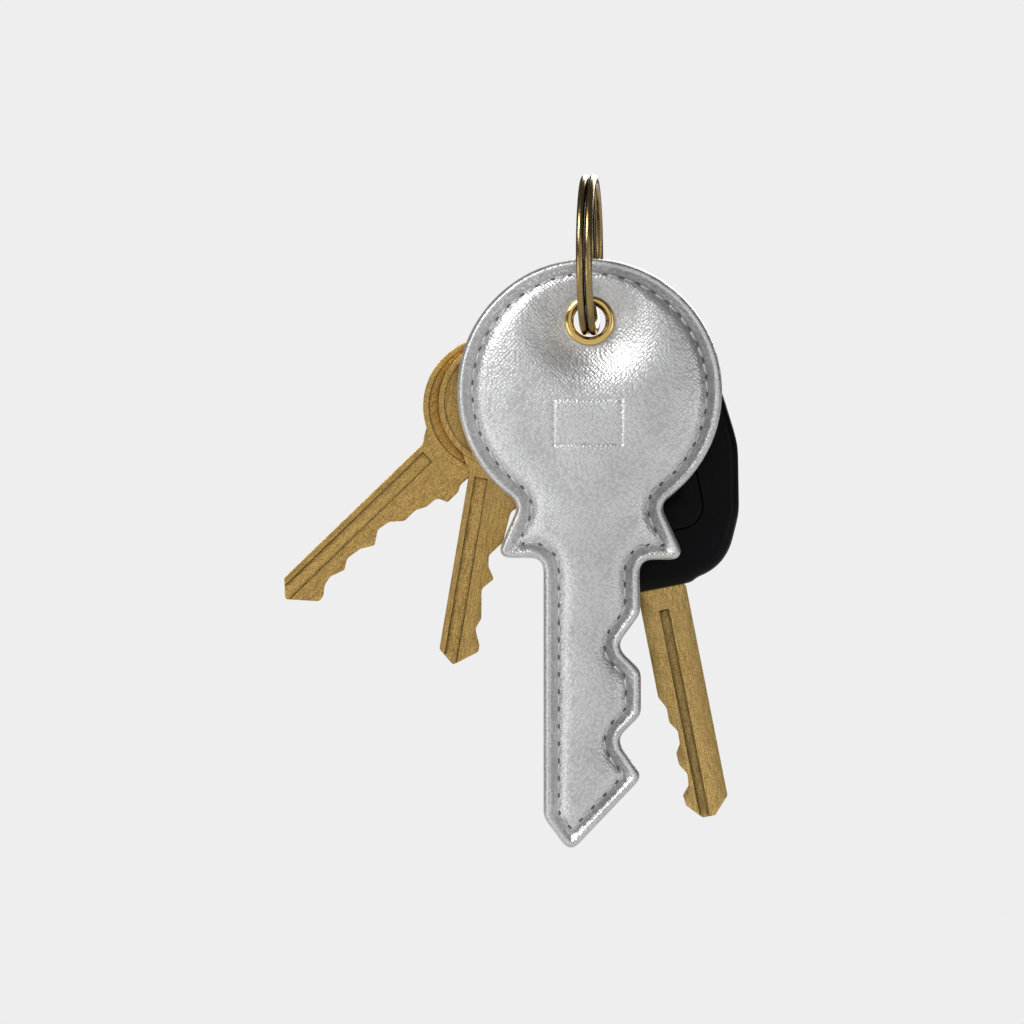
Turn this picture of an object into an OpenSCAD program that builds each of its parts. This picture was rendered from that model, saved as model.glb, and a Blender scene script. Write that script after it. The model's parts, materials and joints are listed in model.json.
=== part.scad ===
// Key organiser: a padded leather fob in the shape of a key, hung from a split ring, with
// two house keys and a car key that turn, with friction, on posts behind the fob's head.
// Millimetres. +X right, +Z up, -Y is the front. The origin is the inner top of the split
// ring, where a hook or a finger carries it. Shapes of the fob are drawn from the eyelet.

/* [Fob] */
// Radius of the round head
head_r = 24.8; // [24.4:0.1:25.2]
// Width of the rolled edge outside the stitches
rim_w = 2.2; // [2:0.1:2.4]
// How far the front padding stands out from the middle of the fob
front_h = 5; // [4.6:0.1:5.4]
// Thickness of the leather
leather_t = 0.8; // [0.7:0.1:0.9]

/* [Split ring] */
// Outer diameter of the ring
ring_od = 30; // [29.6:0.1:30]
// Radial width of the wire
wire_w = 1.8; // [1.6:0.1:1.8]
// Axial width of one turn of the wire
wire_t = 1.5; // [1.3:0.1:1.5]

/* [House keys] */
// Thickness of a house key
key_t = 2; // [1.8:0.1:2]
// How far the long key stands from straight down, to the left
long_angle = 46; // [30:1:60]
// How far the short key stands from straight down, to the left
short_angle = 9.6; // [0:0.2:20]

/* [Car key] */
// Width of the blade
car_blade_w = 9.2; // [9:0.1:9.4]
// Thickness of the blade
car_blade_t = 2.2; // [2:0.1:2.4]
// How far the car key stands from straight down, to the right
car_angle = 11.2; // [5:0.2:20]

/* [Hidden] */
$fn = 48;

eyelet_z = -25.5;
ring_z = -13.2;
ring_yaw = -4.7;

board_half = 0.4;
eyelet_bore = 3;
eyelet_out = 3.6;
eyelet_seat_front = 2.5;
eyelet_seat_back = 1.8;
back_h = 2.6;
rim_half = 1.9;

post_r = 2;
hole_r = 2.05;
base_r = 4.2;
base_t = 0.8;
screw_r = 1.2;
tap_r = 1.25;
house_at = [-16, -13.8];
car_at = [5.9, -11];
washer_t = 0.4;
gap = 0.05;
short_y = 3.15;
long_y = 5.65;
house_end = 7.7;
cap_t = 1;
car_front = 9;
car_mid = 12.75;
car_back = 16.5;
car_end = 16.6;
post_u = 39.8;       // from where blade and head meet up to the car post
keypad_gap = 0.3;    // gap around the rubber keypad

silver = [0.77, 0.77, 0.78];
brass = [0.72, 0.56, 0.26];
key_brass = [0.6, 0.46, 0.2];
antique = [0.45, 0.34, 0.16];
steel = [0.7, 0.7, 0.72];
black = [0.05, 0.05, 0.055];

// ---- helpers ----

// Extrudes a shape drawn in X and Z around the eyelet, from y0 to y1
module slab(y0, y1) {
    translate([0, y1, eyelet_z]) rotate([90, 0, 0]) linear_extrude(y1 - y0) children();
}

// A round bar along Y
module rod(at, y0, y1, r) {
    translate([at[0], y1, eyelet_z + at[1]]) rotate([90, 0, 0]) cylinder(h = y1 - y0, r = r);
}

module tube(at, y0, y1, r_out, r_in) {
    difference() {
        rod(at, y0, y1, r_out);
        rod(at, y0 - 1, y1 + 1, r_in);
    }
}

// Moves a key, drawn hanging straight down from its hole, to its post
module hung(at, angle) {
    translate([at[0], 0, eyelet_z + at[1]]) rotate([0, angle, 0]) children();
}

// A plate in a key's own frame
module plate(y0, y1) {
    translate([0, y1, 0]) rotate([90, 0, 0]) linear_extrude(y1 - y0) children();
}

// Rounds the outer corners to one radius and the inner corners to another
module eased(r_outer, r_inner, steps) {
    offset(r = -r_inner, $fn = steps) offset(r = r_inner + r_outer, $fn = steps)
        offset(r = -r_outer, $fn = steps) children();
}

// ---- fob ----

module outline() {
    eased(1.5, 2, 28) union() {
        translate([0, -13.1]) circle(r = head_r, $fn = 64);
        polygon([[-17, -28], [-13.2, -34.3], [-17.6, -44.3], [-8.6, -44.3], [-8.6, -92.8],
            [-3.6, -99.4], [9.9, -85.2], [5, -78.2], [9.6, -73.6], [9.6, -65.4], [5, -60.8],
            [9.5, -54.6], [9.3, -44.6], [18, -44.6], [13.2, -34.3], [17, -28]]);
    }
}

module inset(d) {
    offset(r = -d, $fn = 20) outline();
}

// Domed front: [distance in from the outline, height above the middle of the fob]
front_steps = [[rim_w + 1.1, 0.5], [rim_w + 2.1, 0.68], [rim_w + 3.6, 0.84], [rim_w + 5.6, 0.95],
    [rim_w + 8, 1]];
back_steps = [[rim_w + 1.3, 2], [rim_w + 2.8, back_h]];

module front_solid(less) {
    for (s = front_steps) slab(less - s[1] * front_h, -board_half) inset(s[0] + less);
}

module back_solid(less) {
    for (s = back_steps) slab(board_half, s[1] - less) inset(s[0] + less);
}

module eyelet_dimple(less) {
    rod([0, 0], -20, less - eyelet_seat_front, 5.1 + less);
    rod([0, 0], -20, less - 3.6, 6.8 + less);
    rod([0, 0], -20, less - 4.5, 8.6 + less);
    rod([0, 0], eyelet_seat_back - less, 20, 5.1 + less);
}

// Blank rectangle pressed into the front
module blank_mark() {
    translate([-0.4, -19.2]) difference() {
        square([12.9, 8.4], center = true);
        square([11.7, 7.2], center = true);
    }
}

module front_filling() difference() {
    front_solid(leather_t);
    eyelet_dimple(leather_t);
}

module fob_front_panel() color(silver) difference() {
    union() {
        slab(-board_half - leather_t, -board_half) inset(rim_w);
        difference() {
            front_solid(0);
            eyelet_dimple(0);
        }
    }
    front_filling();
    slab(-front_h - 1, 0.35 - front_h) blank_mark();
    rod([0, 0], -20, 20, eyelet_out);
}

module fob_front_foam() color("gainsboro") difference() {
    front_filling();
    rod([0, 0], -20, 20, eyelet_out);
}

module fob_stiffener() color("tan") difference() {
    slab(-board_half, board_half) inset(rim_w + 1);
    rod([0, 0], -20, 20, eyelet_out);
}

module fob_back_foam() color("gainsboro") difference() {
    back_solid(leather_t);
    rod([0, 0], -20, 20, 6.2);
    for (at = [house_at, car_at]) rod(at, 0, 20, base_r);
}

module fob_back_panel() color(silver) difference() {
    union() {
        slab(board_half, board_half + leather_t) inset(rim_w);
        back_solid(0);
    }
    difference() {
        back_solid(leather_t);
        rod([0, 0], -20, 20, 6.2);
    }
    rod([0, 0], eyelet_seat_back, 20, 5.1);
    rod([0, 0], -20, 20, eyelet_out);
    for (at = [house_at, car_at]) {
        rod(at, 0, board_half + base_t, base_r);
        rod(at, 0, 20, post_r);
    }
}

module fob_edge_piping() color(silver) difference() {
    union() {
        slab(-1.1, 1.1) outline();
        slab(-1.6, 1.6) inset(0.35);
        slab(-rim_half, rim_half) inset(0.8);
    }
    slab(-3, 3) inset(rim_w);
}

module fob_stitching() color([0.45, 0.45, 0.47]) {
    for (y = [-board_half - leather_t - 0.4, board_half + leather_t])
        slab(y, y + 0.4) difference() {
            inset(rim_w + 0.3);
            inset(rim_w + 0.75);
        }
}

module eyelet_barrel() color(brass) translate([0, 0, eyelet_z]) rotate([90, 0, 0])
    rotate_extrude() polygon([[eyelet_bore, -eyelet_seat_back - 0.8], [4, -eyelet_seat_back - 0.7],
        [4, -eyelet_seat_back - 0.4], [eyelet_out, -eyelet_seat_back - 0.4],
        [eyelet_out, eyelet_seat_front], [4.6, eyelet_seat_front], [4.6, eyelet_seat_front + 0.3],
        [4.2, eyelet_seat_front + 0.65], [3.5, eyelet_seat_front + 0.65],
        [eyelet_bore, eyelet_seat_front + 0.2]]);

module eyelet_washer() color(brass)
    tube([0, 0], eyelet_seat_back, eyelet_seat_back + 0.4, 4.8, eyelet_out);

// ---- split ring: one wire that goes round twice and changes lanes between its ends ----

jog = 22;            // half the angle over which the wire changes lanes
jog_at = 135;        // where it does, from the top over the back
lane = wire_t / 2 + 0.01;
wire_rows = 104;
wire_sides = 10;

function lane_at(a) =
    a < 360 - jog ? -lane : a > 360 + jog ? lane : lane * sin(90 * (a - 360) / jog);

function wire_ring(a) =
    [for (i = [0 : wire_sides - 1])
        let (g = 360 * (i + 0.5) / wire_sides,
            r = (ring_od - wire_w) / 2 + wire_w / 2 * cos(g) / cos(180 / wire_sides),
            x = lane_at(a) + wire_t / 2 * sin(g))
        [x, r * sin(a + jog_at), r * cos(a + jog_at)]];

module split_ring() color(antique) translate([0, 0, ring_z]) rotate([0, 0, ring_yaw])
    polyhedron(
        points = [for (k = [0 : wire_rows]) each wire_ring(jog + (720 - 2 * jog) * k / wire_rows)],
        faces = concat(
            [[for (i = [0 : wire_sides - 1]) i]],
            [[for (i = [wire_sides - 1 : -1 : 0]) wire_rows * wire_sides + i]],
            [for (k = [0 : wire_rows - 1], i = [0 : wire_sides - 1])
                let (j = (i + 1) % wire_sides, b = k * wire_sides, t = b + wire_sides)
                [b + i, t + i, t + j, b + j]]));

// ---- posts ----

washer_r = 4;
slot_len = 5.4;
slot_w = 0.9;
slot_depth = 0.5;

module post(at, end) difference() {
    union() {
        rod(at, board_half, board_half + base_t, base_r);
        rod(at, board_half, end, post_r);
    }
    rod(at, end - 5, end + 1, tap_r);
}

module cap_screw(at, end) difference() {
    union() {
        rod(at, end, end + cap_t, base_r);
        rod(at, end - 4, end, screw_r);
    }
    translate([at[0], end + cap_t, eyelet_z + at[1]]) cube([slot_len, slot_depth * 2, slot_w], center = true);
}

module house_post() color(steel) post(house_at, house_end);
module house_post_screw() color(brass) cap_screw(house_at, house_end);
module car_post() color(steel) post(car_at, car_end);
module car_post_screw() color(brass) cap_screw(car_at, car_end);

module friction_washers() color(steel)
    for (y = [back_h + 2 * gap, short_y + key_t + gap])
        tube(house_at, y, y + washer_t, washer_r, hole_r);

module car_post_spacer() color(steel) tube(car_at, back_h + 2 * gap, car_front - 2 * gap, washer_r, hole_r);

// ---- house keys, drawn hanging from the hole with their cuts to the right ----

// Cut edge from the shoulder down: [distance below the hole, distance right of the axis]
long_cuts = [[17.6, 6.4], [18.8, 7.1], [21.6, 7.1], [22.4, 5.1], [24.9, 5], [26.9, 4], [29.8, 4],
    [32, 2.1], [34.6, 1.7], [37, 3.4], [39.4, 2], [42.5, 1.6], [44.3, 2.8], [47.1, 1.8], [49, 2.3],
    [50.6, 3.6], [51.8, 3.7], [56.1, -1], [53.4, -4]];
short_cuts = [[15.4, 6.2], [18.2, 6.7], [20, 6.5], [21.4, 4.9], [27.2, 4.4], [30.1, 2.2], [32.2, 2.5],
    [34.3, 3.9], [36.5, 1.9], [39.4, 2.4], [42, 2.8], [44.1, 2], [47, 3.3], [48.2, 3.3],
    [51.4, -1], [48.9, -4]];

module house_key(bow_z, bow_r, shoulder, cuts, tip) {
    groove = [-2.9, -0.3];
    difference() {
        union() {
            plate(0.15, key_t - 0.15) union() {
                translate([0, bow_z]) circle(r = bow_r, $fn = 72);
                eased(0.5, 1.3, 20)
                    polygon(concat([[6.8, bow_z - bow_r + 3.6]], [for (c = cuts) [c[1], -c[0]]],
                        [[-4, -shoulder - 0.4], [-5, -shoulder + 0.9], [-6.8, bow_z - bow_r + 3.2]]));
            }
            plate(0, key_t) difference() {
                translate([0, bow_z]) circle(r = bow_r, $fn = 72);
                translate([0, bow_z]) circle(r = bow_r - 1.1, $fn = 72);
            }
            plate(0, key_t) circle(r = 3.6);
        }
        plate(-1, key_t + 1) circle(r = hole_r);
        for (y = [-1, key_t - 0.6]) plate(y, y + 1.6)
            translate([groove[0], -tip - 1]) square([groove[1] - groove[0], tip + 1 - shoulder - 1.5]);
    }
}

module house_key_long() color(key_brass) hung(house_at, long_angle)
    translate([0, long_y, 0]) house_key(-3, 13, 16.8, long_cuts, 56.1);

module house_key_short() color(key_brass) hung(house_at, short_angle)
    translate([0, short_y, 0]) house_key(-1.5, 12, 14.5, short_cuts, 51.4);

// ---- car key, drawn hanging from its post ----

module on_car_post() hung(car_at, -car_angle) children();

module head_outline() hull() for (s = [-1, 1]) {
    translate([6 * s, 10.4 - post_u]) circle(r = 9.7, $fn = 36);
    translate([7.6 * s, 14 - post_u]) circle(r = 9.8, $fn = 36);
    translate([2.2 * s, 24.5 - post_u]) circle(r = 17, $fn = 56);
    translate([9 * s, 32 - post_u]) circle(r = 9.5, $fn = 36);
    translate([5 * s, 35 - post_u]) circle(r = 10.5, $fn = 36);
}

module head_shape(d) {
    offset(r = -d, $fn = 20) union() {
        head_outline();
        translate([-6.6, -post_u]) square([13.2, 6]);
    }
}

keypad_half = 10.5;
keypad_low = 10.4 - post_u;
keypad_high = -4.2;

module keypad_shape(grow) {
    w = keypad_half + grow;
    translate([-w + 4, keypad_low - grow + 4]) offset(r = 4, $fn = 24)
        square([2 * w - 8, keypad_high - keypad_low + 2 * grow - 8]);
}

module button_shape(z, less) {
    translate([0, z]) offset(r = 1.4 - less, $fn = 20) square([10.4, 5], center = true);
}

lock_z = -10.2;
unlock_z = -19.8;
cell_at = [0, 24 - post_u];
screws_at = [[-14, 19 - post_u], [14, 19 - post_u]];

module bore(at, y0, y1, r) {
    translate([at[0], y1, at[1]]) rotate([90, 0, 0]) cylinder(h = y1 - y0, r = r);
}

module tang(clear) plate(car_mid - car_blade_t / 2 - clear, car_mid + car_blade_t / 2 + clear)
    translate([-car_blade_w / 2 - clear, -post_u - 1])
        square([car_blade_w + 2 * clear, 9 + clear]);

module shell_cavity(y0, y1) plate(y0, y1) difference() {
    offset(r = -1.6, $fn = 20) head_outline();
    translate([-9, -post_u - 1]) square([18, 11]);
    circle(r = 4.2);
    for (s = screws_at) translate(s) circle(r = 2.4);
}

module car_front_shell() color(black) on_car_post() difference() {
    union() {
        plate(car_front + 1.3, car_mid) head_shape(0);
        plate(car_front + 0.5, car_mid) head_shape(0.45);
        plate(car_front, car_mid) head_shape(1.3);
    }
    shell_cavity(car_front + 1.2, car_mid + 1);
    plate(car_front - 1, car_front + 2) keypad_shape(keypad_gap);
    tang(0);
    bore([0, 0], car_front - 1, car_mid + 1, hole_r);
    for (s = screws_at) bore(s, car_mid - 2.2, car_mid + 1, 0.8);
}

module car_rear_shell() color(black) on_car_post() difference() {
    union() {
        plate(car_mid, car_back - 1.3) head_shape(0);
        plate(car_mid, car_back - 0.5) head_shape(0.45);
        plate(car_mid, car_back) head_shape(1.3);
    }
    shell_cavity(car_mid - 1, car_back - 1.2);
    tang(0);
    bore([0, 0], car_mid - 1, car_back + 1, hole_r);
    for (s = screws_at) {
        bore(s, car_mid - 1, car_back + 1, 0.8);
        bore(s, car_back - 1.1, car_back + 1, 1.6);
    }
}

module car_keypad() color([0.08, 0.08, 0.085]) on_car_post() difference() {
    union() {
        plate(car_front + 0.05, car_front + 1.25) keypad_shape(0);
        plate(car_front + 1.25, car_front + 1.75) keypad_shape(0.1);
    }
    for (z = [lock_z, unlock_z]) plate(car_front - 1, car_front + 3) button_shape(z, 0);
}

module key_button(z) color([0.12, 0.12, 0.125]) on_car_post()
    plate(car_front + 0.05, car_front + 1.95) button_shape(z, 0.15);

module lock_button() key_button(lock_z);
module unlock_button() key_button(unlock_z);

module car_circuit_board() color("darkgreen") on_car_post() plate(11.5, 12.3)
    translate([-10, 14 - post_u]) square([20, 21]);

module car_coin_cell() color(steel) on_car_post() bore(cell_at, 12.3, 14.3, 8);

module car_transponder() color([0.15, 0.15, 0.15]) on_car_post()
    translate([-6, 12.3, 10.4 - post_u]) cube([12, 2.4, 3.4]);

module car_shell_screws() color(steel) on_car_post() for (s = screws_at) {
    bore(s, car_mid - 2, car_back - 0.2, 0.75);
    bore(s, car_back - 1.1, car_back - 0.2, 1.5);
}

// Blade edge, left side from the head down: [distance below the head, distance left]
car_cuts = [[4, 4.6], [20, 4.6], [22.4, 3.4], [25, 3.5], [27, 2.2], [29.4, 2.3], [31, 3.3],
    [33.2, 3.2], [35.2, 2], [37.4, 2.2], [39, 3.6], [41, 3.4], [43.8, 0.8]];

module car_key_blade() color(brass) on_car_post() difference() {
    union() {
        intersection() {
            tang(0);
            translate([-20, 0, -post_u]) cube([40, 30, 20]);
        }
        plate(car_mid - car_blade_t / 2, car_mid + car_blade_t / 2)
            eased(0.5, 0.8, 20) polygon(concat([for (c = car_cuts) [-c[1], -post_u - c[0]]],
                [[1.6, -post_u - 43.8], [car_blade_w / 2, -post_u - 40.6], [car_blade_w / 2, -post_u],
                    [-car_blade_w / 2, -post_u]]));
    }
    for (y = [car_mid - car_blade_t / 2 - 1, car_mid + car_blade_t / 2 - 0.7])
        plate(y, y + 1.7) translate([-1.3, -post_u - 45]) square([1.9, 41]);
}

fob_front_panel();
fob_back_panel();
fob_front_foam();
fob_back_foam();
fob_stiffener();
fob_edge_piping();
fob_stitching();
eyelet_barrel();
eyelet_washer();
split_ring();
house_post();
house_post_screw();
friction_washers();
house_key_long();
house_key_short();
car_post();
car_post_spacer();
car_post_screw();
car_key_blade();
car_front_shell();
car_rear_shell();
car_keypad();
lock_button();
unlock_button();
car_circuit_board();
car_coin_cell();
car_transponder();
car_shell_screws();
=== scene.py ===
"""Looks of the key organiser: leather fob, split ring, house keys and car key. Lengths are in mm."""

import math

import bmesh
import bpy
import numpy as np
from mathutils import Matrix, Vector
from mathutils.geometry import delaunay_2d_cdt
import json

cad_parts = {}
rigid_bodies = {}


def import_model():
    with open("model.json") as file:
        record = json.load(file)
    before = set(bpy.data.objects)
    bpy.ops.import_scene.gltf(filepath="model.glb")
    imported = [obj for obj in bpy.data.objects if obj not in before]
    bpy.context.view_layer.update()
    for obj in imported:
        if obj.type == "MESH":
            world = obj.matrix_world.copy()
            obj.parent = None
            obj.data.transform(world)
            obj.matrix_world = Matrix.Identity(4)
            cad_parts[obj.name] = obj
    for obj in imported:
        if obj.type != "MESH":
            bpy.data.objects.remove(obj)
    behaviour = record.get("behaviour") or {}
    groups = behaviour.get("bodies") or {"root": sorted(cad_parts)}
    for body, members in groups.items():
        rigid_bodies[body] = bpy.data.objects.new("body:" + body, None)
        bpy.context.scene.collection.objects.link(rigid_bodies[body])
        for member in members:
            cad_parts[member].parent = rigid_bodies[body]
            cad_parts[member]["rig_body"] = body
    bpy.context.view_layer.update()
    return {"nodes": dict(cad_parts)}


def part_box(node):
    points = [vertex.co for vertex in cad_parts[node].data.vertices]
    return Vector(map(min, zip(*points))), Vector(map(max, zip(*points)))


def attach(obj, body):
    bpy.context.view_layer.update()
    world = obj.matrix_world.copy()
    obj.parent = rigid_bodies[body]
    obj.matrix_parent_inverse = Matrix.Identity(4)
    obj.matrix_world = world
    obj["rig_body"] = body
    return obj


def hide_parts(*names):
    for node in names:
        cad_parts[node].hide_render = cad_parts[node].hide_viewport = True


MM = 0.001
# Slack when walls are picked out by height, distance at which points are joined, and
# how many points are measured at once
TOL = 0.02
WELD = 0.002
CHUNK = 2000

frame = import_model()


def centre(node):
    """Middle of a CAD node's box, in mm."""
    low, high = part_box(node)
    return np.array((low + high) / 2) / MM


EYELET = centre("eyelet_barrel")[[0, 2]]
HOUSE_POST = centre("house_post")[[0, 2]]
CAR_POST = centre("car_post")[[0, 2]]
FRONT_TOP = -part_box("fob_front_panel")[0].y / MM
BACK_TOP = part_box("fob_back_panel")[1].y / MM
RIM_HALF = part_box("fob_edge_piping")[1].y / MM
SHELL_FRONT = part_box("car_front_shell")[0].y / MM
SHELL_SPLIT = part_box("car_front_shell")[1].y / MM
SHELL_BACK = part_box("car_rear_shell")[1].y / MM

# Rolled edge: its width, where it is thickest, and half the thickness at and inside the seam
RIM_W = 2.2
RIM_CREST = 0.85
SEAM_Y = 1.25
FLANGE_Y = 1.35
# Eyelet: where it sits on the leather in front and behind, and its radii
SEAT_FRONT = 2.5
SEAT_BACK = 1.8
BARREL_R = 3.6
BORE_R = 3.0
ROLL_R = 4.7
# Seam: how far it lies inside the rolled edge, and the sizes of its stitches and needle holes
STITCH_IN = 0.7
STITCH_PITCH = 3.2
STITCH_LEN = 2.0
STITCH_W = 0.44
STITCH_SAG = 0.22
STITCH_LIFT = 0.02
STITCH_FLAT = 0.8
HOLE_LEN = 1.05
HOLE_W = 0.54
HOLE_SINK = 0.14
HOLE_SAG = 0.02
# Degrees from straight down at which the keys stand
LONG_ANGLE = 46
SHORT_ANGLE = 9.6
CAR_ANGLE = -11.2


# ---- outlines, read from the walls of the CAD nodes ----


def wall_loops(node, low, high):
    """Closed loops [x, z] of the straight walls from y = low to y = high, the largest first."""
    mesh = frame["nodes"][node].data
    after = {}
    for face in mesh.polygons:
        pts = [np.array(mesh.vertices[v].co) / MM for v in face.vertices]
        ys = [p[1] for p in pts]
        if abs(min(ys) - low) > TOL or abs(max(ys) - high) > TOL:
            continue
        for a, b in zip(pts, pts[1:] + pts[:1]):
            if abs(a[1] - low) < TOL and abs(b[1] - low) < TOL:
                start, end = (tuple(np.round(p[[0, 2]], 3)) for p in (a, b))
                if start != end:
                    after[start] = end
    loops = []
    while after:
        first, point = after.popitem()
        loop = [first]
        while point in after:
            loop.append(point)
            point = after.pop(point)
        loops.append(np.array(loop))
    return sorted(loops, key=lambda lp: -abs(area(lp)))


def area(loop):
    """Signed area of a closed loop, positive when it runs anticlockwise."""
    x, z = loop.T
    return 0.5 * float(np.sum(x * np.roll(z, -1) - z * np.roll(x, -1)))


def run_along(line):
    """Distance travelled along a line, at each of its points."""
    steps = np.linalg.norm(np.diff(line, axis=0), axis=1)
    return np.concatenate([[0], np.cumsum(steps)])


def even(loop, step, passes=2):
    """The loop, anticlockwise, with points about step apart and its facets smoothed out."""
    if area(loop) < 0:
        loop = loop[::-1]
    closed = np.vstack([loop, loop[:1]])
    run = run_along(closed)
    count = max(12, int(round(run[-1] / step)))
    at = np.arange(count) * run[-1] / count
    out = np.stack([np.interp(at, run, closed[:, k]) for k in (0, 1)], axis=1)
    for _ in range(passes):
        out = 0.5 * out + 0.25 * (np.roll(out, 1, axis=0) + np.roll(out, -1, axis=0))
    return out


def tangents(loop):
    step = np.roll(loop, -1, axis=0) - np.roll(loop, 1, axis=0)
    return step / np.linalg.norm(step, axis=1)[:, None]


def inward(loop):
    """Unit normals that point into an anticlockwise loop."""
    along = tangents(loop)
    return np.stack([-along[:, 1], along[:, 0]], axis=1)


def circle(at, r, count=48):
    turn = np.arange(count) * 2 * math.pi / count
    return np.stack([at[0] + r * np.cos(turn), at[1] + r * np.sin(turn)], axis=1)


def distance(pts, loop):
    """Distance from each point to a closed loop."""
    along = np.roll(loop, -1, axis=0) - loop
    length2 = np.maximum((along**2).sum(axis=1), 1e-12)
    out = np.empty(len(pts))
    for k in range(0, len(pts), CHUNK):
        away = pts[k : k + CHUNK, None, :] - loop[None]
        share = np.clip((away * along[None]).sum(axis=2) / length2, 0, 1)
        gap = away - share[..., None] * along[None]
        out[k : k + CHUNK] = np.sqrt((gap**2).sum(axis=2).min(axis=1))
    return out


def inside(pts, loop):
    """Whether each point lies inside a closed loop."""
    a = loop
    b = np.roll(loop, -1, axis=0)
    out = np.zeros(len(pts), bool)
    for k in range(0, len(pts), CHUNK):
        p = pts[k : k + CHUNK, None, :]
        spans = (a[None, :, 1] > p[..., 1]) != (b[None, :, 1] > p[..., 1])
        rise = np.where(a[:, 1] == b[:, 1], 1, b[:, 1] - a[:, 1])
        cross = a[None, :, 0] + (p[..., 1] - a[None, :, 1]) * (b[:, 0] - a[:, 0])[None] / rise[None]
        out[k : k + CHUNK] = (spans & (p[..., 0] < cross)).sum(axis=1) % 2 == 1
    return out


# ---- meshes ----

# Distances from a hole of the lines of points round it, and of the first grid point
HOLE_LINES = (0.3, 0.7, 1.2, 1.8, 2.5, 3.3)
HOLE_CLEAR = 3.6


def twice_area(a, b, c):
    """Twice the signed area of each triangle."""
    return (b[:, 0] - a[:, 0]) * (c[:, 1] - a[:, 1]) - (b[:, 1] - a[:, 1]) * (c[:, 0] - a[:, 0])


def surface(outer, holes, depths, fill, extra=()):
    """Triangles over the area inside outer and outside the holes, in lines that follow the edge."""
    loops = [outer] + list(holes)
    points = [np.vstack(loops)]
    for depth in depths:
        line = outer + inward(outer) * depth
        points.append(line[distance(line, outer) > depth - 0.03])
    for hole in holes:
        for grow in HOLE_LINES:
            line = hole - inward(hole) * grow
            keep = inside(line, outer) & (distance(line, outer) > grow)
            points.append(line[keep])
    points.extend(extra)
    low, high = outer.min(axis=0), outer.max(axis=0)
    rows = np.arange(low[1], high[1], fill * 0.866)
    grid = [
        np.array([[x, z] for x in np.arange(low[0] + fill / 2 * (k % 2), high[0], fill)])
        for k, z in enumerate(rows)
    ]
    grid = np.vstack(grid)
    grid = grid[inside(grid, outer)]
    grid = grid[distance(grid, outer) > max(depths) + 0.6 * fill]
    for hole in holes:
        grid = grid[~inside(grid, hole)]
        grid = grid[distance(grid, hole) > HOLE_CLEAR]
    points.append(grid)
    edges, start = [], 0
    for loop in loops:
        n = len(loop)
        edges += [(start + i, start + (i + 1) % n) for i in range(n)]
        start += n
    cloud = [Vector(p) for p in np.vstack(points)]
    verts, _, faces, _, _, _ = delaunay_2d_cdt(cloud, edges, [], 0, 1e-5)
    pts = np.array([tuple(v) for v in verts])
    tris = np.array([f for f in faces if len(f) == 3])
    middle = pts[tris].mean(axis=1)
    keep = inside(middle, outer)
    for hole in holes:
        keep &= ~inside(middle, hole)
    tris = tris[keep]
    turn = twice_area(*(pts[tris[:, k]] for k in range(3)))
    tris[turn < 0] = tris[turn < 0][:, ::-1]
    tris = tris[np.abs(turn) > 1e-9]
    used, flat = np.unique(tris, return_inverse=True)
    return pts[used], flat.reshape(tris.shape)


def border(tris):
    """Edges that belong to one triangle only."""
    edges = np.vstack([tris[:, [0, 1]], tris[:, [1, 2]], tris[:, [2, 0]]])
    _, where, count = np.unique(np.sort(edges, axis=1), axis=0, return_index=True, return_counts=True)
    return edges[where[count == 1]]


def new_piece(name, verts, faces, material, body, nodes=(), smooth=40):
    """A mesh from points in mm, welded and smooth-shaded, that rides a body."""
    mesh = bpy.data.meshes.new(name)
    points = [tuple(float(c) * MM for c in v) for v in verts]
    mesh.from_pydata(points, [], [tuple(map(int, f)) for f in faces])
    work = bmesh.new()
    work.from_mesh(mesh)
    bmesh.ops.remove_doubles(work, verts=work.verts, dist=WELD * MM)
    bmesh.ops.recalc_face_normals(work, faces=work.faces)
    work.to_mesh(mesh)
    work.free()
    return finish_piece(name, mesh, material, body, nodes, smooth)


def finish_piece(name, mesh, material, body, nodes, smooth):
    """An object from a mesh, with its material, body, slot and the CAD nodes it replaces."""
    for face in mesh.polygons:
        face.use_smooth = True
    mesh.set_sharp_from_angle(angle=math.radians(smooth))
    piece = bpy.data.objects.new(name, mesh)
    bpy.context.scene.collection.objects.link(piece)
    mesh.materials.clear()
    mesh.materials.append(material)
    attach(piece, body)
    if nodes:
        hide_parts(*nodes)
    return piece


def solid(pts, tris, near, far):
    """Points and faces of the closed solid between two heights, near being the front."""
    n = len(pts)
    verts = [(p[0], y, p[1]) for y_all in (near, far) for p, y in zip(pts, y_all)]
    faces = [tuple(t) for t in tris] + [tuple(t[::-1] + n) for t in tris]
    faces += [(b, a, a + n, b + n) for a, b in border(tris)]
    return verts, faces


def lathe(profile, at, count=96):
    """A ring turned about Y from a closed profile of [radius, y]."""
    verts, faces, m = [], [], len(profile)
    for i in range(count):
        turn = 2 * math.pi * i / count
        verts += [(at[0] + r * math.cos(turn), y, at[1] + r * math.sin(turn)) for r, y in profile]
    for i in range(count):
        for k in range(m):
            a, b = i * m + k, i * m + (k + 1) % m
            c, d = (i + 1) % count * m + k, (i + 1) % count * m + (k + 1) % m
            faces.append((a, b, d, c))
    return verts, faces


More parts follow.
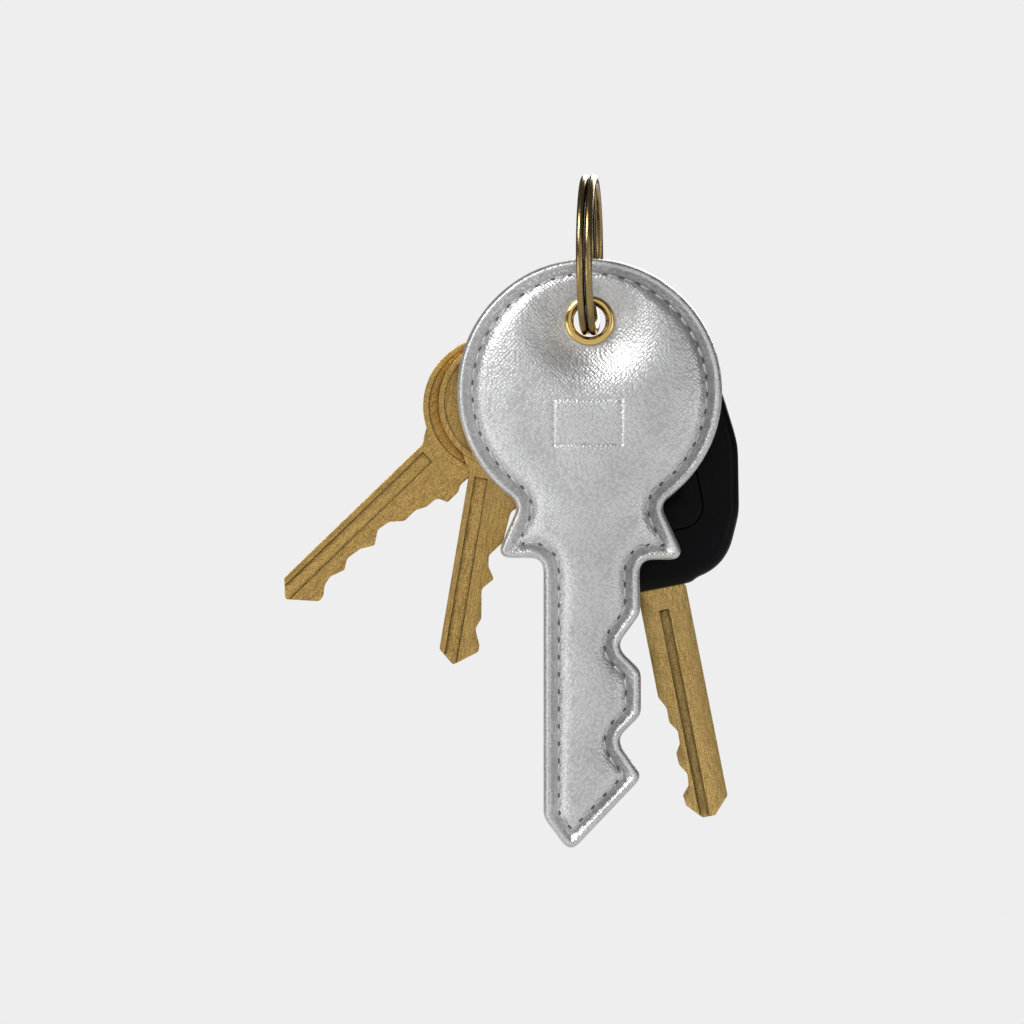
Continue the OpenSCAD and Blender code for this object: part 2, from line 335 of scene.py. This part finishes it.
def detailed(node, material, bevel=0.12, smooth=35):
    """A copy of a CAD node with its sharp edges rounded a little."""
    source = frame["nodes"][node]
    work = bmesh.new()
    work.from_mesh(source.data)
    bmesh.ops.remove_doubles(work, verts=work.verts, dist=WELD * MM)
    bmesh.ops.dissolve_limit(
        work, angle_limit=math.radians(1.5), verts=work.verts, edges=work.edges
    )
    corner = math.radians(smooth)
    sharp = [e for e in work.edges if len(e.link_faces) == 2 and e.calc_face_angle() > corner]
    bmesh.ops.bevel(
        work, geom=sharp, offset=bevel * MM, segments=2, affect="EDGES", profile=0.5,
        clamp_overlap=True,
    )
    bmesh.ops.triangulate(work, faces=[f for f in work.faces if len(f.verts) > 4])
    mesh = bpy.data.meshes.new(node + "_look")
    work.to_mesh(mesh)
    work.free()
    return finish_piece(node + "_look", mesh, material, source["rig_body"], (node,), smooth)


# ---- materials ----


class Shader:
    """A node tree with a Principled shader and short ways to add to it."""

    def __init__(self, name, color, metallic, roughness, **sockets):
        self.material = bpy.data.materials.new(name)
        self.material.use_nodes = True
        self.tree = self.material.node_tree
        self.main = self.tree.nodes["Principled BSDF"]
        self.set("Base Color", (*color, 1))
        self.set("Metallic", metallic)
        self.set("Roughness", roughness)
        for socket, value in sockets.items():
            self.set(socket.replace("_", " "), value)
        self.coords = self.tree.nodes.new("ShaderNodeTexCoord").outputs["Object"]
        self.height = None

    def set(self, socket, value):
        """A value that is the same all over."""
        self.main.inputs[socket].default_value = value

    def link(self, a, b):
        self.tree.links.new(a, b)

    def mapped(self, scale, angle):
        """Object coordinates turned about Y by angle degrees and scaled."""
        turn = self.tree.nodes.new("ShaderNodeMapping")
        turn.inputs["Rotation"].default_value = (0, math.radians(angle), 0)
        self.link(self.coords, turn.inputs["Vector"])
        stretch = self.tree.nodes.new("ShaderNodeMapping")
        stretch.inputs["Scale"].default_value = scale
        self.link(turn.outputs["Vector"], stretch.inputs["Vector"])
        return stretch.outputs["Vector"]

    def noise(self, size, vector=None, detail=3.0, rough=0.5):
        """Noise whose features are about size mm across."""
        node = self.tree.nodes.new("ShaderNodeTexNoise")
        node.inputs["Scale"].default_value = 1 / (size * MM)
        node.inputs["Detail"].default_value = detail
        node.inputs["Roughness"].default_value = rough
        self.link(vector or self.coords, node.inputs["Vector"])
        return node.outputs["Fac"]

    def multiply(self, a, b):
        """The product of two colours."""
        node = self.tree.nodes.new("ShaderNodeMix")
        node.data_type = "RGBA"
        node.blend_type = "MULTIPLY"
        node.inputs["Factor"].default_value = 1
        self.link(a, node.inputs[6])
        self.link(b, node.inputs[7])
        return node.outputs[2]

    def cells(self, size, vector):
        """Rounded cells about size mm across, in slightly uneven rows."""
        node = self.tree.nodes.new("ShaderNodeTexVoronoi")
        node.inputs["Randomness"].default_value = 0.6
        node.inputs["Scale"].default_value = 1 / (size * MM)
        self.link(vector, node.inputs["Vector"])
        return node.outputs["Distance"]

    def ramp(self, value, stops):
        """Colours or greys at positions along a value."""
        node = self.tree.nodes.new("ShaderNodeValToRGB")
        points = node.color_ramp.elements
        while len(points) < len(stops):
            points.new(0.5)
        for point, (position, color) in zip(points, stops):
            point.position = position
            point.color = (*color, 1) if isinstance(color, tuple) else (color, color, color, 1)
        self.link(value, node.inputs["Fac"])
        return node.outputs["Color"]

    def bump(self, value, depth, strength=1.0, invert=False):
        """Adds a bump depth mm deep; later bumps lie on earlier ones."""
        node = self.tree.nodes.new("ShaderNodeBump")
        node.invert = invert
        node.inputs["Distance"].default_value = depth * MM
        node.inputs["Strength"].default_value = strength
        self.link(value, node.inputs["Height"])
        if self.height:
            self.link(self.height, node.inputs["Normal"])
        self.height = node.outputs["Normal"]
        self.link(self.height, self.main.inputs["Normal"])


def leather_material():
    """Silvered leather: rounded pebbles in uneven rows, with painted shade darkening the creases
    between them.
    """
    s = Shader("silver_leather", (0.55, 0.55, 0.55), 0.8, 0.47)
    tone = s.ramp(s.noise(7, detail=2), [(0.3, (0.56, 0.56, 0.562)), (0.7, (0.63, 0.63, 0.632))])
    pebbles = s.cells(0.56, s.mapped((1, 0.5, 1), 45))
    # The colour is darkened in the creases between pebbles: painted shade, so the grain shows under
    # flat light.
    painted_crease_shade = s.ramp(pebbles, [(0.3, 1.0), (0.75, 0.76)])
    s.link(s.multiply(tone, painted_crease_shade), s.main.inputs["Base Color"])
    gloss = s.ramp(s.noise(0.5), [(0.3, 0.36), (0.7, 0.46)])
    s.link(gloss, s.main.inputs["Roughness"])
    s.bump(s.noise(6, detail=1), 0.06, 0.4)
    s.bump(pebbles, 0.11, 0.8, invert=True)
    s.bump(s.noise(0.2), 0.015, 0.5)
    return s.material


def thread_material():
    """Grey twisted thread."""
    s = Shader("thread", (0.42, 0.42, 0.43), 0.4, 0.5)
    s.bump(s.noise(0.15, s.mapped((1, 1, 1), 35)), 0.05, 0.8)
    return s.material


def plain_material(name, color, metallic, roughness, grain=0.3, depth=0.01, spread=0.06):
    """One colour with uneven gloss and a fine grain."""
    s = Shader(name, color, metallic, roughness)
    gloss = s.ramp(s.noise(grain * 6), [(0.3, roughness - spread), (0.7, roughness + spread)])
    s.link(gloss, s.main.inputs["Roughness"])
    s.bump(s.noise(grain), depth, 0.6)
    return s.material


def brass_material(name, light, dark, angle, roughness=0.32, streak=1.0):
    """Worn brass, drawn along a key that stands at angle degrees, with painted shade darkening its
    recesses.
    """
    s = Shader(name, light, 1.0, roughness)
    lines = s.noise(0.16, s.mapped((1, 1, 0.07), -angle), detail=4, rough=0.6)
    speckle = s.noise(0.3, detail=6, rough=0.7)
    worn = s.ramp(speckle, [(0.36, dark), (0.58, light)])
    shade = s.ramp(lines, [(0.32, 1 - 0.45 * streak), (0.62, 1.0)])
    brushed = s.multiply(worn, shade)
    # Ambient occlusion darkens the colour in grooves and recesses: painted shade.
    hollow = s.tree.nodes.new("ShaderNodeAmbientOcclusion")
    hollow.samples = 4
    hollow.only_local = True
    hollow.inputs["Distance"].default_value = 1.8 * MM
    painted_recess_shade = s.ramp(hollow.outputs["AO"], [(0.66, 0.1), (0.98, 1.0)])
    s.link(s.multiply(brushed, painted_recess_shade), s.main.inputs["Base Color"])
    gloss = s.ramp(speckle, [(0.35, roughness + 0.12), (0.6, roughness - 0.05)])
    s.link(gloss, s.main.inputs["Roughness"])
    s.bump(lines, 0.02 * streak, 0.5)
    s.bump(speckle, 0.02, 0.4)
    return s.material


LEATHER = leather_material()
THREAD = thread_material()
# Near-black colour of the needle holes: painted shade inside the holes.
HOLE_PAINTED_SHADE = plain_material("needle_hole", (0.07, 0.07, 0.075), 0.0, 0.8)
BOARD_FIBRE = plain_material("stiffener_board", (0.35, 0.25, 0.15), 0.0, 0.8)
EYELET_BRASS = plain_material("eyelet_brass", (0.66, 0.47, 0.17), 1.0, 0.17, 0.5, 0.004, 0.05)
RING_BRASS = brass_material("ring_brass", (0.36, 0.26, 0.11), (0.22, 0.15, 0.06), 0, 0.22, 0.2)
LONG_BRASS = brass_material("long_key_brass", (0.74, 0.48, 0.16), (0.33, 0.2, 0.052), LONG_ANGLE)
SHORT_BRASS = brass_material("short_key_brass", (0.72, 0.47, 0.16), (0.32, 0.19, 0.052), SHORT_ANGLE)
BLADE_BRASS = brass_material("blade_brass", (0.8, 0.54, 0.2), (0.4, 0.26, 0.08), CAR_ANGLE)
STEEL = plain_material("post_steel", (0.6, 0.6, 0.61), 1.0, 0.3)
CAP_BRASS = plain_material("cap_brass", (0.62, 0.46, 0.2), 1.0, 0.28)
PLASTIC = plain_material("black_plastic", (0.004, 0.004, 0.005), 0.0, 0.36, 0.25, 0.01)
RUBBER = plain_material("keypad_rubber", (0.005, 0.005, 0.006), 0.0, 0.42, 0.2, 0.01)
for dull in (PLASTIC, RUBBER):
    dull.node_tree.nodes["Principled BSDF"].inputs["Specular IOR Level"].default_value = 0.07
PCB = plain_material("circuit_board", (0.03, 0.16, 0.06), 0.0, 0.4)
CELL = plain_material("cell_steel", (0.7, 0.7, 0.71), 1.0, 0.22)
CHIP = plain_material("chip_case", (0.04, 0.04, 0.04), 0.0, 0.6)


# ---- fob ----

SLAB_HALF = 1.1
OUTLINE_STEP = 0.6
outline = even(wall_loops("fob_edge_piping", -SLAB_HALF, SLAB_HALF)[0], OUTLINE_STEP)
seam = even(wall_loops("fob_edge_piping", -RIM_HALF, RIM_HALF)[0], OUTLINE_STEP)


def smooth_step(x):
    """From 0 to 1 with no corner at either end."""
    x = np.clip(x, 0, 1)
    return x * x * (3 - 2 * x)


def inflate(pts, tris, fixed):
    """Height of a membrane that is held at the fixed points and pushed up evenly."""
    i, j, w = [], [], []
    whole = np.zeros(len(pts))
    for k in range(3):
        a, b, c = pts[tris[:, k]], pts[tris[:, (k + 1) % 3]], pts[tris[:, (k + 2) % 3]]
        turn = twice_area(a, b, c)
        cot = ((b - a) * (c - a)).sum(axis=1) / np.maximum(turn, 1e-6)
        i.append(tris[:, (k + 1) % 3])
        j.append(tris[:, (k + 2) % 3])
        w.append(np.clip(cot, 0.02, 5) / 2)
        whole += np.bincount(tris[:, k], np.abs(turn) / 6, len(pts))
    i, j, w = np.concatenate(i), np.concatenate(j), np.concatenate(w)
    n = len(pts)
    diagonal = np.bincount(i, w, n) + np.bincount(j, w, n)
    free = (~fixed).astype(float)

    def stiff(u):
        return free * (diagonal * u - np.bincount(i, w * u[j], n) - np.bincount(j, w * u[i], n))

    u = np.zeros(n)
    rest = free * whole
    z = rest / diagonal
    step = z.copy()
    power = rest @ z
    for _ in range(700):
        pull = stiff(step)
        share = power / max(step @ pull, 1e-20)
        u += share * step
        rest = rest - share * pull
        z = rest / diagonal
        fresh = rest @ z
        if fresh < 1e-12:
            break
        step = z + fresh / power * step
        power = fresh
    return u


def rim_height(d):
    """Half thickness of the rolled edge, d in from the outline: round, then sloping to the seam."""
    round_part = np.sqrt(np.clip(1 - (1 - np.clip(d / RIM_CREST, 0, 1)) ** 2, 0, 1))
    slope = smooth_step((d - RIM_CREST) / (RIM_W - RIM_CREST))
    return RIM_HALF * round_part - (RIM_HALF - SEAM_Y) * slope


RIM_LINES = (0.06, 0.2, 0.42, 0.7, 1.05, 1.4, 1.75, 2.0)
RIM_GRID = 4.0
ON_EDGE = 0.01


def make_rim():
    """The rolled edge, from the outline in to the seam."""
    pts, tris = surface(outline, [seam], RIM_LINES, RIM_GRID)
    d = distance(pts, outline)
    d[d < ON_EDGE] = 0
    half = rim_height(d)
    verts, faces = solid(pts, tris, -half, half)
    new_piece(
        "edge_piping_leather", verts, faces, LEATHER, "fob",
        ("fob_edge_piping",), 70,
    )


EDGE_LINES = (0.25, 0.5, 0.8, 1.2, 1.7, 2.3, 3.0, 3.7)
FRONT_GRID = 0.75
BACK_GRID = 1.1
# Padding: height of the puckers, where the flat seam ends, and the width of the rise beside it
PUCKER = 0.06
PUCKER_AT = 0.8
PUCKER_REACH = 1.6
FLANGE_W = 0.9
PAD_RISE = 2.2
EDGE_SHARE = 0.72
FULL_RATE = 0.42
PUFF = 1.6
FRONT_FULLNESS = 0.34
BACK_FULLNESS = 0.8
# Inner faces of both panels, and the holes for the posts in the back one
LINING_Y = 0.41
POST_HOLE_R = 2.02
# Dent round the eyelet: the radius where it begins, how far it reaches and how it fades
DIMPLE_R = 4.4
DIMPLE_REACH = 6.2
DIMPLE_POWER = 1.7
# Blank rectangle pressed into the front
MARK_AT = np.array([-0.4, -18.9])
MARK_SIZE = (12.7, 8.4)
MARK_DEPTH = 0.3
MARK_W = 0.2
MARK_LINES = (-0.5, -0.3, -0.15, 0, 0.15, 0.3, 0.5)
MARK_STEP = 0.5


def along_seam(pts):
    """How far round the seam each point's nearest seam point is."""
    run = run_along(seam)
    out = np.empty(len(pts))
    for k in range(0, len(pts), CHUNK):
        gap = ((pts[k : k + CHUNK, None] - seam[None]) ** 2).sum(axis=2)
        out[k : k + CHUNK] = run[gap.argmin(axis=1)]
    return out


def panel_heights(pts, tris, top, seat, fullness):
    """Heights of a padded panel: up from the seam, puckered at the stitches, down at the eyelet."""
    d = distance(pts, seam)
    u = np.sqrt(np.maximum(inflate(pts, tris, d < ON_EDGE), 0))
    full = (1 - np.exp(-FULL_RATE * u)) / (1 - np.exp(-FULL_RATE * u.max()))
    puff = fullness * full + (1 - fullness) * u / u.max()
    flat = SEAM_Y + (FLANGE_Y - SEAM_Y) * smooth_step(d / FLANGE_W)
    rise = EDGE_SHARE + (1 - EDGE_SHARE) * smooth_step(d / PAD_RISE)
    height = flat + (top - FLANGE_Y) * puff * rise
    waves = np.cos(2 * math.pi * along_seam(pts) / STITCH_PITCH)
    fade = np.exp(-np.maximum(d - PUCKER_AT, 0) / PUCKER_REACH)
    height += PUCKER * waves * smooth_step(d / PUCKER_AT) * fade
    r = np.linalg.norm(pts - EYELET, axis=1)
    pull = np.exp(-((np.maximum(r - DIMPLE_R, 0) / DIMPLE_REACH) ** DIMPLE_POWER))
    return height * (1 - pull) + seat * pull


def mark_lines():
    """Points along the pressed rectangle, so that its edges are crisp."""
    middle = EYELET + MARK_AT
    half = np.array(MARK_SIZE) / 2
    points = []
    for grow in MARK_LINES:
        w, h = half + grow
        points += [(x, s * h) for x in np.arange(-w, w, MARK_STEP) for s in (-1, 1)]
        points += [(s * w, z) for z in np.arange(-h, h, MARK_STEP) for s in (-1, 1)]
    return np.array(points) + middle


def mark_depth(pts):
    """The narrow line of the blank rectangle, pressed into the front."""
    away = np.abs(pts - EYELET - MARK_AT) - np.array(MARK_SIZE) / 2
    outside = np.linalg.norm(np.maximum(away, 0), axis=1)
    edge = np.abs(outside + np.minimum(away.max(axis=1), 0))
    return MARK_DEPTH * (1 - smooth_step(edge / (2 * MARK_W)))


def make_front():
    """The padded front, with the rectangle pressed in. Returns its points and heights."""
    hole = circle(EYELET, BARREL_R)
    pts, tris = surface(seam, [hole], EDGE_LINES, FRONT_GRID, [mark_lines()])
    height = panel_heights(pts, tris, FRONT_TOP + PUFF, SEAT_FRONT, FRONT_FULLNESS)
    shown = height - mark_depth(pts)
    verts, faces = solid(pts, tris, -shown, np.full(len(pts), -LINING_Y))
    piece = new_piece(
        "front_panel_leather", verts, faces, LEATHER, "fob",
        ("fob_front_panel", "fob_front_foam"), 60,
    )
    return pts, height


def make_back():
    """The flatter back, with holes for the posts. Returns its points and heights."""
    posts = [circle(at, POST_HOLE_R, 24) for at in (HOUSE_POST, CAR_POST)]
    hole = circle(EYELET, BARREL_R)
    pts, tris = surface(seam, [hole] + posts, EDGE_LINES, BACK_GRID)
    height = panel_heights(pts, tris, BACK_TOP, SEAT_BACK, BACK_FULLNESS)
    height = np.minimum(height, BACK_TOP)
    verts, faces = solid(pts, tris, np.full(len(pts), LINING_Y), height)
    piece = new_piece(
        "back_panel_leather", verts, faces, LEATHER, "fob",
        ("fob_back_panel", "fob_back_foam"), 60,
    )
    return pts, height


def capsule(at, along, up, length, width, sag):
    """A stitch or needle hole: a bowed bar with round ends that dip into the leather."""
    side = np.cross(along, up)
    verts, faces, rings, sides = [], [], 9, 8
    for k in range(rings):
        t = -1 + 2 * k / (rings - 1)
        r = width / 2 * math.sqrt(max(1 - abs(t) ** 5, 0.02))
        spine = at + along * (t * length / 2) - up * (sag * t * t)
        for m in range(sides):
            turn = 2 * math.pi * m / sides
            verts.append(spine + side * (r * math.cos(turn)) + up * (STITCH_FLAT * r * math.sin(turn)))
    for k in range(rings - 1):
        for m in range(sides):
            a, b = k * sides + m, k * sides + (m + 1) % sides
            faces.append((a, b, b + sides, a + sides))
    faces.append(tuple(range(sides))[::-1])
    faces.append(tuple((rings - 1) * sides + m for m in range(sides)))
    return verts, faces


def add_shape(shape, verts, faces):
    """Adds one closed shape's points and faces to the lists of a piece."""
    more_verts, more_faces = shape
    faces += [tuple(i + len(verts) for i in face) for face in more_faces]
    verts += more_verts


def make_stitches(front, back):
    """Stitches and, between them, dark capsules that paint the shade of the needle holes, along the
    seam on both sides.
    """
    path = seam + inward(seam) * STITCH_IN
    run = run_along(np.vstack([path, path[:1]]))
    count = int(run[-1] / STITCH_PITCH)
    verts, faces, hole_verts, hole_faces = [], [], [], []

    def point(s):
        s = s % run[-1]
        return np.array([np.interp(s, run, np.append(path[:, k], path[0, k])) for k in (0, 1)])

    for (pts, height), sign in ((front, -1), (back, 1)):
        for n in range(count):
            s = n * run[-1] / count
            here, a, b = point(s), point(s - 0.8), point(s + 0.8)
            flat = (b - a) / np.linalg.norm(b - a)
            along = np.array([flat[0], 0, flat[1]])
            up = np.array([0, sign, 0.0])
            lift = height[((pts - here) ** 2).sum(axis=1).argmin()]
            at = np.array([here[0], sign * (lift + STITCH_LIFT), here[1]])
            add_shape(capsule(at, along, up, STITCH_LEN, STITCH_W, STITCH_SAG), verts, faces)
            gap = point(s + run[-1] / count / 2)
            lift = height[((pts - gap) ** 2).sum(axis=1).argmin()]
            at = np.array([gap[0], sign * (lift - HOLE_SINK), gap[1]])
            add_shape(capsule(at, along, up, HOLE_LEN, HOLE_W, HOLE_SAG), hole_verts, hole_faces)
    new_piece("stitches", verts, faces, THREAD, "fob", ("fob_stitching",), 60)
    # Dark capsules sunk between the stitches: painted shade of the needle holes.
    new_piece("needle_holes", hole_verts, hole_faces, HOLE_PAINTED_SHADE, "fob", (), 60)


# Rolled rim: its height, how deep it sits in the leather, and the points across it
ROLL_H = 0.78
ROLL_SINK = 0.05
ROLL_STEPS = 14
# Curl behind the washer, as [radius, distance behind the seat]
CURL = ((BARREL_R, 0.42), (4.05, 0.42), (3.9, 0.72), (3.5, 0.82), (BORE_R, 0.6))


def make_eyelet():
    """The eyelet's rolled rim in front, its barrel, its curl behind, and the washer."""
    flange = SEAT_FRONT - ROLL_SINK
    half = (ROLL_R - BORE_R) / 2
    profile = []
    for k in range(ROLL_STEPS + 1):
        t = math.pi * k / ROLL_STEPS
        profile.append((BORE_R + half - half * math.cos(t), -flange - ROLL_H * math.sin(t) ** 0.8))
    profile.append((BARREL_R, -flange))
    profile += [(r, SEAT_BACK + behind) for r, behind in CURL]
    verts, faces = lathe(profile, EYELET)
    new_piece(
        "eyelet_rolled", verts, faces, EYELET_BRASS, "fob", ("eyelet_barrel",), 50
    )
    detailed("eyelet_washer", EYELET_BRASS)


# ---- split ring ----

WIRE_W = 1.8
WIRE_T = 1.5
LANE = WIRE_T / 2 + 0.01
# Half the angle over which the wire changes lanes, and where, from the top over the back
JOG = 22
JOG_AT = 135
RING_YAW = -4.7
RING_ROWS = 300
RING_SIDES = 18
# Thickness of the wire's last rows at each end, and how nearly square its section is
END_SLIM = (0.55, 0.8, 0.93)
SQUARE = 0.85


def rounded(value):
    """A sine or cosine pushed outwards, for a section between round and square."""
    return math.copysign(abs(value) ** SQUARE, value)


def make_ring():
    """One wire that goes round twice and changes lanes between its ends."""
    low, high = (np.array(v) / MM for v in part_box("split_ring"))
    middle = (low + high) / 2
    mean_r = (high[2] - low[2] - WIRE_W) / 2
    yaw = math.radians(RING_YAW)
    verts, faces = [], []
    for row in range(RING_ROWS + 1):
        a = JOG + (720 - 2 * JOG) * row / RING_ROWS
        lane = LANE * math.sin(math.radians(90 * max(-1, min(1, (a - 360) / JOG))))
        from_end = min(row, RING_ROWS - row)
        slim = END_SLIM[from_end] if from_end < len(END_SLIM) else 1
        turn = math.radians(a + JOG_AT)
        for k in range(RING_SIDES):
            g = 2 * math.pi * (k + 0.5) / RING_SIDES
            r = mean_r + slim * WIRE_W / 2 * rounded(math.cos(g))
            x = lane + slim * WIRE_T / 2 * rounded(math.sin(g))
            y = r * math.sin(turn)
            verts.append((
                x * math.cos(yaw) - y * math.sin(yaw),
                x * math.sin(yaw) + y * math.cos(yaw),
                middle[2] + r * math.cos(turn),
            ))
    for row in range(RING_ROWS):
        for k in range(RING_SIDES):
            a, b = row * RING_SIDES + k, row * RING_SIDES + (k + 1) % RING_SIDES
            faces.append((a, b, b + RING_SIDES, a + RING_SIDES))
    faces.append(tuple(range(RING_SIDES)))
    faces.append(tuple(RING_ROWS * RING_SIDES + k for k in range(RING_SIDES)))
    new_piece("split_ring_wire", verts, faces, RING_BRASS, "ring", ("split_ring",), 50)


# ---- keys ----


KEY_BEVEL = 0.14
POST_BEVEL = 0.08
CAP_BEVEL = 0.22
KEYPAD_BEVEL = 0.15
BUTTON_BEVEL = 0.2


def make_keys():
    """The three cut blades, with softened edges."""
    detailed("house_key_long", LONG_BRASS, KEY_BEVEL)
    detailed("house_key_short", SHORT_BRASS, KEY_BEVEL)
    detailed("car_key_blade", BLADE_BRASS, KEY_BEVEL)


# Shells: thickness of the face and of the side walls, lines of points in from the edge
WALL = 1.2
WALL_SIDE = 1.6
SHELL_LINES = (0.08, 0.25, 0.5, 0.85, 1.25, 1.45, 1.62, 2.0, 2.6)
SHELL_ROUND = 2.4
SHELL_GRID = 1.6
SHELL_STEP = 0.7
# CAD step in the shells' edge: its two depths below the face, and how far it stands in
STEP_NEAR = 0.5
STEP_FAR = 1.3
STEP_IN = 0.45
SCREW_HEAD_R = 1.6
POST_BORE_R = 2.05
# Straight part of the keypad's rim, below the front face, and how far the opening grows past it
PAD_NEAR = 0.05
PAD_FAR = 1.25
PAD_GAP = 0.3


def shell_height(d, full):
    """Height of a shell's outside above the split line, rounded over at the edge."""
    edge = np.clip(d / SHELL_ROUND, 0, 1)
    return full - SHELL_ROUND * 0.9 * (1 - np.sqrt(np.clip(1 - (1 - edge) ** 2, 0, 1)))


def make_shell(name, node, outer_y, window, holes):
    """Half of the car key's head: a hollow shell from the split line to outer_y."""
    full = abs(outer_y - SHELL_SPLIT)
    away = math.copysign(1, outer_y - SHELL_SPLIT)
    low, high = sorted((outer_y - away * STEP_NEAR, outer_y - away * STEP_FAR))
    step = even(wall_loops(node, low, high)[0], SHELL_STEP)
    head = step - inward(step) * STEP_IN
    loops = [circle(CAR_POST, POST_BORE_R, 24)] + [circle(at, SCREW_HEAD_R, 20) for at in holes]
    if window is not None:
        loops.append(window)
    pts, tris = surface(head, loops, SHELL_LINES, SHELL_GRID)
    d = distance(pts, head)
    outside = shell_height(d, full)
    inner = np.where(d > WALL_SIDE, outside - WALL, 0)
    near, far = SHELL_SPLIT + away * outside, SHELL_SPLIT + away * inner
    verts, faces = solid(pts, tris, *((near, far) if away < 0 else (far, near)))
    new_piece(name, verts, faces, PLASTIC, "car_key", (node,), 50)


def make_car_key():
    """The car key's two shells, keypad and buttons."""
    pad = wall_loops("car_keypad", SHELL_FRONT + PAD_NEAR, SHELL_FRONT + PAD_FAR)[0]
    window = even(pad, SHELL_STEP, 1)
    window = window - inward(window) * PAD_GAP
    make_shell("shell_front_plastic", "car_front_shell", SHELL_FRONT, window, [])
    screws = [centre_of_screw(side) for side in (-1, 1)]
    make_shell("shell_rear_plastic", "car_rear_shell", SHELL_BACK, None, screws)
    detailed("car_keypad", RUBBER, KEYPAD_BEVEL)
    detailed("lock_button", RUBBER, BUTTON_BEVEL)
    detailed("unlock_button", RUBBER, BUTTON_BEVEL)


def centre_of_screw(side):
    """Place of a shell screw, from the two ends of their common node."""
    pts = np.array([v.co for v in frame["nodes"]["car_shell_screws"].data.vertices])[:, [0, 2]] / MM
    middle = pts.mean(axis=0)
    half = pts[(pts[:, 0] - middle[0]) * side > 0]
    return (half.min(axis=0) + half.max(axis=0)) / 2


def paint(node, material):
    """Puts a material on a CAD node that is kept as it is."""
    slots = frame["nodes"][node].data.materials
    slots.clear()
    slots.append(material)


# ---- scene ----

# Camera: what it looks at as [x, z], the width it takes in there, and how far off it stands
VIEW_MIDDLE = (-14.5, -61.2)
VIEW_WIDTH = 191.4
VIEW_DISTANCE = 2000
SENSOR = 36
FLOOR_Z = -400
FLOOR_HALF = 4000
# Brightness of the background, of the floor's own glow, and of the room's light
PALE = 0.855
FLOOR_GLOW = PALE - 0.03
ROOM = 0.11
AIM = (0, 0, -60)


def make_camera():
    """A long lens, square on to the front."""
    data = bpy.data.cameras.new("camera")
    data.sensor_width = SENSOR
    data.lens = SENSOR * VIEW_DISTANCE / VIEW_WIDTH
    data.clip_start = 0.01
    camera = bpy.data.objects.new("camera", data)
    camera.location = Vector((VIEW_MIDDLE[0], -VIEW_DISTANCE, VIEW_MIDDLE[1])) * MM
    camera.rotation_euler = (math.radians(90), 0, 0)
    bpy.context.scene.collection.objects.link(camera)
    bpy.context.scene.camera = camera


def make_floor():
    """A wide pale floor, well below the hanging organiser."""
    sides = ((-1, -1), (1, -1), (1, 1), (-1, 1))
    corners = [(x * FLOOR_HALF * MM, y * FLOOR_HALF * MM, FLOOR_Z * MM) for x, y in sides]
    mesh = bpy.data.meshes.new("floor")
    mesh.from_pydata(corners, [], [(0, 1, 2, 3)])
    piece = bpy.data.objects.new("floor", mesh)
    pale = Shader("floor", (0.05, 0.05, 0.05), 0.0, 0.9, Specular_IOR_Level=0)
    pale.set("Emission Color", (1, 1, 1, 1))
    pale.set("Emission Strength", FLOOR_GLOW)
    mesh.materials.append(pale.material)
    bpy.context.scene.collection.objects.link(piece)


def area_light(name, at, size, power):
    """A soft rectangular light in watts, aimed at the middle of the organiser."""
    data = bpy.data.lights.new(name, "AREA")
    data.shape = "RECTANGLE"
    data.size, data.size_y = size[0] * MM, size[1] * MM
    data.energy = power
    light = bpy.data.objects.new(name, data)
    light.location = Vector(at) * MM
    light.rotation_euler = (Vector(AIM) * MM - light.location).to_track_quat("-Z", "Y").to_euler()
    bpy.context.scene.collection.objects.link(light)


def make_room():
    """A dim room around the lights, with a pale background."""
    world = bpy.data.worlds.new("studio")
    bpy.context.scene.world = world
    world.use_nodes = True
    tree = world.node_tree
    room = tree.nodes["Background"]
    room.inputs["Color"].default_value = (ROOM, ROOM, ROOM, 1)
    pale = tree.nodes.new("ShaderNodeBackground")
    pale.inputs["Color"].default_value = (PALE, PALE, PALE, 1)
    path = tree.nodes.new("ShaderNodeLightPath")
    mix = tree.nodes.new("ShaderNodeMixShader")
    tree.links.new(path.outputs["Is Camera Ray"], mix.inputs["Fac"])
    tree.links.new(room.outputs["Background"], mix.inputs[1])
    tree.links.new(pale.outputs["Background"], mix.inputs[2])
    tree.links.new(mix.outputs["Shader"], tree.nodes["World Output"].inputs["Surface"])


def make_light():
    """A key light from the upper left, with softer ones round it."""
    area_light("key", (-380, -400, 400), (360, 360), 5)
    area_light("front", (40, -900, 160), (600, 500), 0.75)
    area_light("fill", (520, -420, -40), (200, 400), 0.5)
    area_light("low", (-380, -300, -160), (260, 260), 0.35)
    area_light("back", (200, 700, 300), (500, 500), 4)
    bpy.context.scene.view_settings.view_transform = "Standard"


make_camera()
make_floor()
make_room()
make_light()
make_rim()
make_stitches(make_front(), make_back())
make_eyelet()
make_ring()
make_keys()
make_car_key()
for fitting in ("house_post", "car_post", "friction_washers", "car_post_spacer"):
    detailed(fitting, STEEL, POST_BEVEL)
for cap in ("house_post_screw", "car_post_screw"):
    detailed(cap, CAP_BRASS, CAP_BEVEL)
detailed("car_shell_screws", STEEL, POST_BEVEL)
paint("fob_stiffener", BOARD_FIBRE)
paint("car_circuit_board", PCB)
paint("car_coin_cell", CELL)
paint("car_transponder", CHIP)

bpy.context.view_layer.update()
